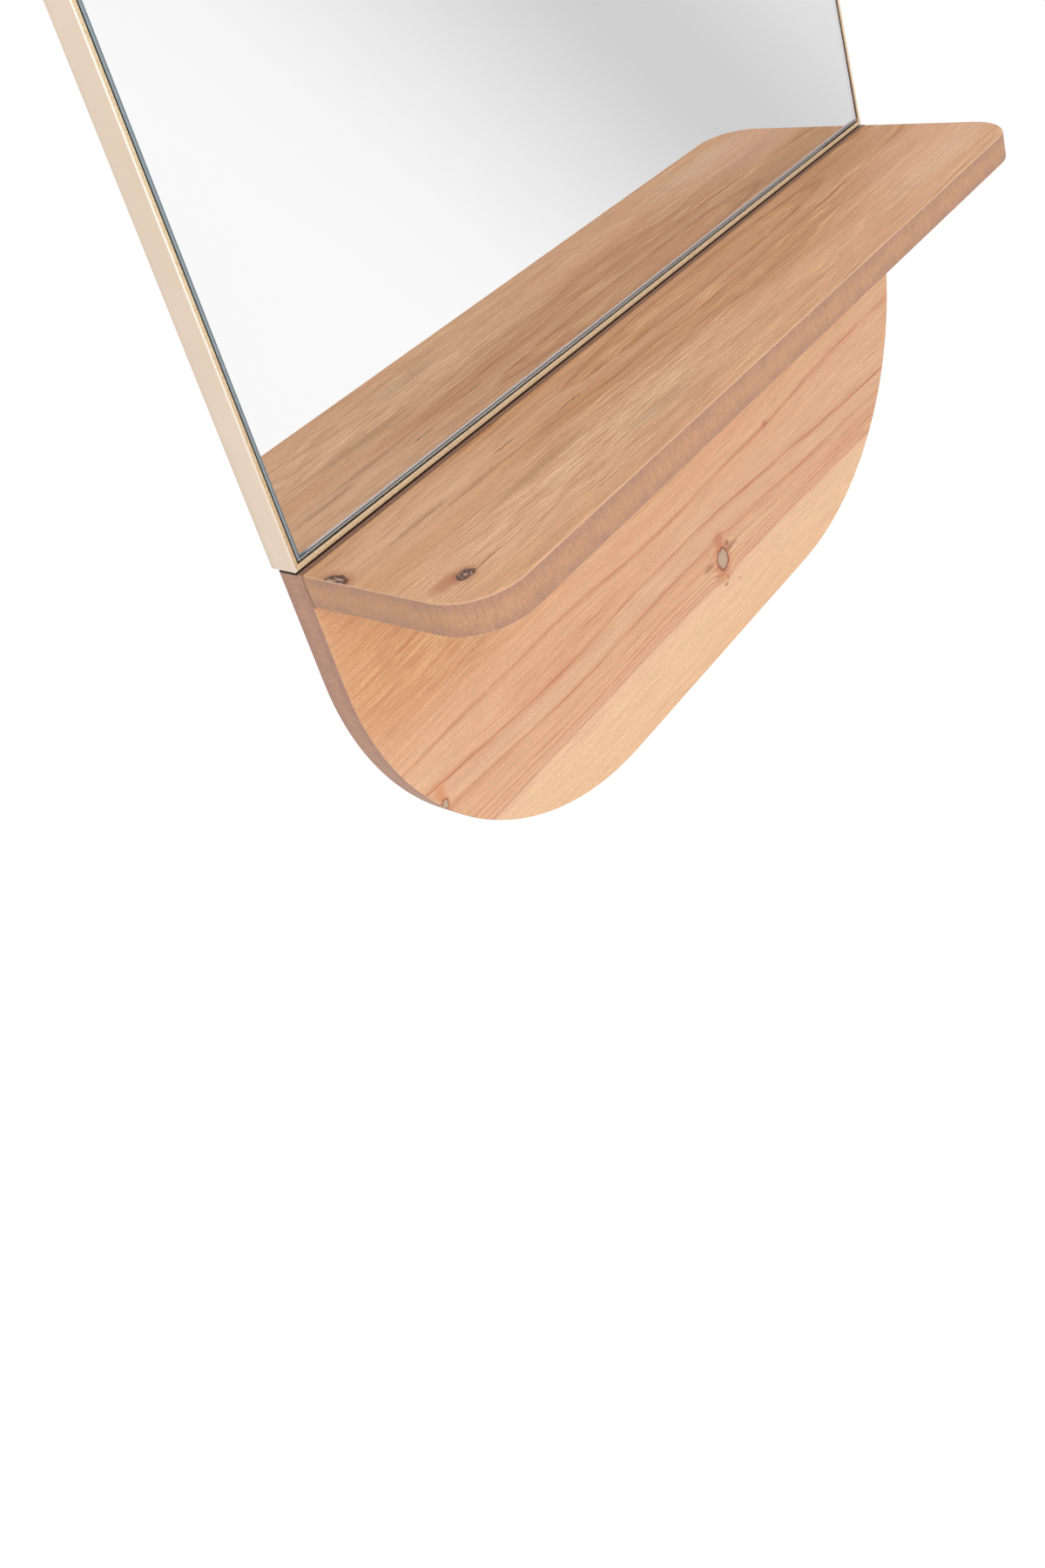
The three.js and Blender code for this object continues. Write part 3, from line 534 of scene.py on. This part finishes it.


# Silvered float glass, in mm. The ground arris is pale blue-grey with painted light and shade by the way it
# looks; just inside it a dark edge of painted shade and then a pale line of painted reflection. The rest is the
# silver, which looks nearer than it is, through the glass before it
mirror = {
    "halfWidth": 295.8, "bottom": 2.7, "top": 533.4, "radius": 185.8, "front": -17.2, "back": -14.2,
    "arris": 1.0, "arrisDepth": 0.45, "silverDepth": 1.0, "darkLine": 0.02, "paleLine": 1.4, "cornerSteps": 40,
    # shades of the ground and dark edges, with their painted light and shade, from where they look left to where
    # they look right, and of the pale line, a painted reflection, from the pane's left to its right
    "groundArrisColourAndPaintedShade": [(0.0, "#3b474f"), (0.3, "#8a979c"), (0.5, "#c2d0d5"), (0.75, "#a5adb2"), (1.0, "#a5adb2")],
    "darkEdgePaintedShade": [(0.0, "#dfe3e6"), (0.3, "#8d979c"), (0.5, "#15222c"), (1.0, "#3c4a52")],
    "paleLinePaintedReflection": [(0.0, "#66747e"), (0.008, "#788893"), (0.02, "#cdc8c9"), (0.98, "#cdc8c9"),
                   (1.0, "#e9ecef")],
}


def archPoints(v, inset):
    # outline of the pane, drawn in by inset
    r, w, steps = v["radius"] - inset, v["halfWidth"] - inset, v["cornerSteps"]
    low, high = v["bottom"] + inset, v["top"] - inset
    points = [(-w, low), (w, low)]
    for side in (1, -1):
        for n in range(steps + 1):
            a = math.pi / 2 * n / steps if side > 0 else math.pi / 2 * (1 + n / steps)
            points.append((side * (w - r) + r * math.cos(a), high - r + r * math.sin(a)))
    return points


def mirrorPane(v):
    groundEdge, darkEdge, paleEdge, silver, paint = range(5)
    front, inner = v["front"], v["front"] + v["silverDepth"]
    loops = [(0.0, v["back"]), (0.0, front + v["arrisDepth"]), (v["arris"], front),
             (v["arris"] + v["darkLine"], inner), (v["arris"] + v["paleLine"], inner)]
    kinds = [groundEdge, groundEdge, darkEdge, paleEdge]
    vertices, faces, materials = [], [], []
    for inset, y in loops:
        vertices += [(px * mm, y * mm, pz * mm) for px, pz in archPoints(v, inset)]
    count = len(vertices) // len(loops)
    for n, kind in enumerate(kinds):
        for i in range(count):
            j = (i + 1) % count
            faces.append((n * count + i, n * count + j, (n + 1) * count + j, (n + 1) * count + i))
            materials.append(kind)
    last = (len(loops) - 1) * count
    faces += [tuple(range(last, last + count)), tuple(reversed(range(count)))]
    materials += [silver, paint]
    mesh = bpy.data.meshes.new("mirrorPane")
    mesh.from_pydata(vertices, [], faces)
    for polygon, kind in zip(mesh.polygons, materials):
        polygon.material_index = kind
    mesh.validate()
    pane = bpy.data.objects.new("mirrorPane", mesh)
    scene.collection.objects.link(pane)
    return pane


def glassEdge(name, shades, roughness, byPlace=False):
    # The cut edge of float glass: its green-blue body with painted light, shade and reflection, deeper or paler
    # by the way each part looks, or from the left side of the pane to the right
    material, tree = newMaterial(name)
    place = placeInMm(tree)
    split = tree.nodes.new("ShaderNodeSeparateXYZ")
    tree.links.new(addNode(tree, "TexCoord", None, None, "Normal"), split.inputs[0])
    if byPlace:
        tree.links.new(place, split.inputs[0])
    reach = mirror["halfWidth"] if byPlace else 1.0
    side = addNode(tree, "MapRange", None, {0: split.outputs["X"], 1: -reach, 2: reach, 3: 0.0, 4: 1.0})
    shade = addNode(tree, "ValToRGB", {"stops": shades}, {0: side})
    grind = addNode(tree, "TexNoise", None, {"Vector": place, "Scale": 0.7, "Detail": 3.0})
    tone = addNode(tree, "MapRange", None, {0: grind, 1: 0.3, 2: 0.7, 3: 0.92, 4: 1.06})
    shade = addNode(tree, "VectorMath", {"operation": "SCALE"}, {0: shade, "Scale": tone})
    return finishMaterial(material, tree, {"Base Color": shade, "Roughness": roughness}, grind, 0.01 * mm)


print("mirror")
# silver under float glass: a clear bright reflection with the least haze, in clouds of about 170 mm
silver, tree = newMaterial("silveredGlass")
place = addNode(tree, "TexCoord", None, None, "Object")
haze = addNode(tree, "TexNoise", None, {"Vector": place, "Scale": 6.0, "Detail": 2.0})
haze = addNode(tree, "Mix", colourMix, {0: haze, 6: "#f0f0f0", 7: "#eeeeee"}, 2)
finishMaterial(silver, tree, {"Base Color": haze, "Metallic": 1.0, "Roughness": 0.012})
# the ground arris with painted light and shade, the dark edge as painted shade and the pale line as painted
# reflection
groundGlass = glassEdge("groundGlassArrisWithPaintedShade", mirror["groundArrisColourAndPaintedShade"], 0.4)
glassPaintedShade = glassEdge("glassEdgePaintedShade", mirror["darkEdgePaintedShade"], 0.25)
glassPaintedReflection = glassEdge("glassEdgePaintedReflection", mirror["paleLinePaintedReflection"], 0.3, True)
# sprayed back paint: flat mid grey
backPaint = plainMaterial("mirrorBackPaint", "#8d9296", "#7f858a", 0.6, 0.5, 0.0)
pane = mirrorPane(mirror)
for m in (groundGlass, glassPaintedShade, glassPaintedReflection, silver, backPaint):
    pane.data.materials.append(m)
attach(pane, "root")
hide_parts("mirror_glass")

print("finishes on the nodes")
nodeMaterials = {"backboard": boardWood, "shelf": shelfWood}
slotMaterials = {"brass_frame": brass, "plate_steel": zincPlate, "screw_steel": zincScrew, "beech": beech,
                 "fibreboard": fibreboard, "foam_tape": foamTape, "bumper_rubber": rubber, "mirror": silver}
finish = {"smoothTo": 35, "weld": 0.002, "arris": 0.3, "arrisSegments": 2, "arrisFrom": 50}  # degrees and mm
slotOf = {s["node"]: s["material_slot"] for s in frame["record"]["subparts"]}
for name, o in nodes.items():
    o.data.materials.clear()
    o.data.materials.append(nodeMaterials[name] if name in nodeMaterials else slotMaterials[slotOf[name]])
    o.data.polygons.foreach_set("use_smooth", [True] * len(o.data.polygons))
    o.data.set_sharp_from_angle(angle=math.radians(finish["smoothTo"]))
    if slotOf[name] == "brass_frame":
        welded = o.modifiers.new("weld", "WELD")
        welded.merge_threshold = finish["weld"] * mm
        rounding = o.modifiers.new("arris", "BEVEL")
        rounding.width = finish["arris"] * mm
        rounding.segments = finish["arrisSegments"]
        rounding.limit_method = "ANGLE"
        rounding.angle_limit = math.radians(finish["arrisFrom"])

# Lengths in metres. What the mirror sees is a pale studio with one soft grey band, by the direction: degrees
# round the vertical, to which a share of the rise is added
studio = {
    "floor": -1.35, "floorSize": 60.0, "floorLift": 0.44, "ambient": 0.70, "reflected": 1.1, "rise": 0.67,
    "tones": [(-62, 1.0), (-57.4, 0.973), (-53.4, 0.87), (-49.7, 0.749), (-47.5, 0.675), (-46, 0.647),
              (-45, 0.654), (-43.5, 0.682), (-42, 0.723), (-40.8, 0.765), (-39.5, 0.796), (-36, 0.86),
              (-25, 0.93), (180, 0.93)],
    "lampAim": (0, 0, 0.05),
}


def studioTone(tree, direction):
    split = tree.nodes.new("ShaderNodeSeparateXYZ")
    tree.links.new(direction, split.inputs[0])
    x, y, z = split.outputs
    turn = addNode(tree, "Math", {"operation": "ARCTAN2"}, {0: y, 1: x})
    rise = addNode(tree, "Math", {"operation": "ARCSINE"}, {0: z})
    angle = addNode(tree, "Math", {"operation": "MULTIPLY_ADD"}, {0: rise, 1: studio["rise"], 2: turn})
    share = addNode(tree, "MapRange", None, {0: angle, 1: -math.pi, 2: math.pi, 3: 0.0, 4: 1.0})
    # the last tone is also the first, since the directions close on themselves
    stops = [(0.0, studio["tones"][-1][1])] + [((a + 180) / 360, t) for a, t in studio["tones"]]
    return addNode(tree, "ValToRGB", {"stops": stops}, {0: share})


def seenInGloss(tree, rays):
    # 1 for what a mirror or a metal sees
    glossy, through = rays.outputs["Is Glossy Ray"], rays.outputs["Is Transmission Ray"]
    return addNode(tree, "Math", {"operation": "MAXIMUM"}, {0: glossy, 1: through})


print("studio")
world = bpy.data.worlds.new("studioWorld")
scene.world = world
world.use_nodes = True
tree = world.node_tree
tree.nodes.clear()
rays = tree.nodes.new("ShaderNodeLightPath")
direction = addNode(tree, "TexCoord", None, None, "Generated")
tone = studioTone(tree, direction)
seen = seenInGloss(tree, rays)
plain = addNode(tree, "Background", None, {"Color": "#ffffff", "Strength": studio["ambient"]})
glossy = addNode(tree, "Background", None, {"Color": tone, "Strength": studio["reflected"]})
white = addNode(tree, "Background", None, {"Color": "#ffffff", "Strength": 1.0})
mixed = addNode(tree, "MixShader", None, {0: seen, 1: plain, 2: glossy})
mixed = addNode(tree, "MixShader", None, {0: rays.outputs["Is Camera Ray"], 1: mixed, 2: white})
tree.links.new(mixed, tree.nodes.new("ShaderNodeOutputWorld").inputs["Surface"])

half, level = studio["floorSize"] / 2, studio["floor"]
corners = [(-half, -half, level), (half, -half, level), (half, half, level), (-half, half, level)]
mesh = bpy.data.meshes.new("floor")
mesh.from_pydata(corners, [], [(0, 1, 2, 3)])
floor = bpy.data.objects.new("floor", mesh)
scene.collection.objects.link(floor)
# matt pale floor, lifted to white for the camera; the mirror and the metal see through it to the studio
material, tree = newMaterial("paleFloor")
rays = tree.nodes.new("ShaderNodeLightPath")
plain = addNode(tree, "BsdfDiffuse", None, {"Color": "#e6e6e6"})
lift = addNode(tree, "Emission", None, {"Color": "#ffffff", "Strength": studio["floorLift"]})
lifted = addNode(tree, "AddShader", None, {0: plain, 1: lift})
clear = addNode(tree, "BsdfTransparent")
seen = seenInGloss(tree, rays)
mixed = addNode(tree, "MixShader", None, {0: rays.outputs["Is Camera Ray"], 1: plain, 2: lifted})
mixed = addNode(tree, "MixShader", None, {0: seen, 1: mixed, 2: clear})
tree.links.new(mixed, tree.nodes.new("ShaderNodeOutputMaterial").inputs["Surface"])
floor.data.materials.append(material)

lamps = {
    "softboxFront": {"place": (-1.3, -2.6, 0.5), "size": 2.2, "watts": 36.0},
    "softboxAbove": {"place": (0.2, -0.9, 2.4), "size": 2.0, "watts": 10.0},
}
for name, v in lamps.items():
    light = bpy.data.lights.new(name, "AREA")
    light.size = v["size"]
    light.energy = v["watts"]
    lamp = bpy.data.objects.new(name, light)
    lamp.location = v["place"]
    aim = Vector(studio["lampAim"]) - Vector(v["place"])
    lamp.rotation_euler = aim.to_track_quat("-Z", "Y").to_euler()
    lamp.visible_glossy = False  # so that the mirror shows no lamp
    scene.collection.objects.link(lamp)

# where the picture is taken from: metres, degrees, lens and sensor in mm
view = {"place": (-0.692349, -0.595638, 0.359637), "turn": (62.236, 13.811, -54.517), "lens": 36.407,
        "sensor": 36.0, "shift": (-0.05214, -0.20857)}
cameraData = bpy.data.cameras.new("camera")
cameraData.sensor_width = view["sensor"]
cameraData.lens = view["lens"]
cameraData.shift_x, cameraData.shift_y = view["shift"]
camera = bpy.data.objects.new("camera", cameraData)
camera.location = view["place"]
camera.rotation_euler = [math.radians(a) for a in view["turn"]]
scene.collection.objects.link(camera)
scene.camera = camera
scene.view_settings.view_transform = "Standard"

print("size")
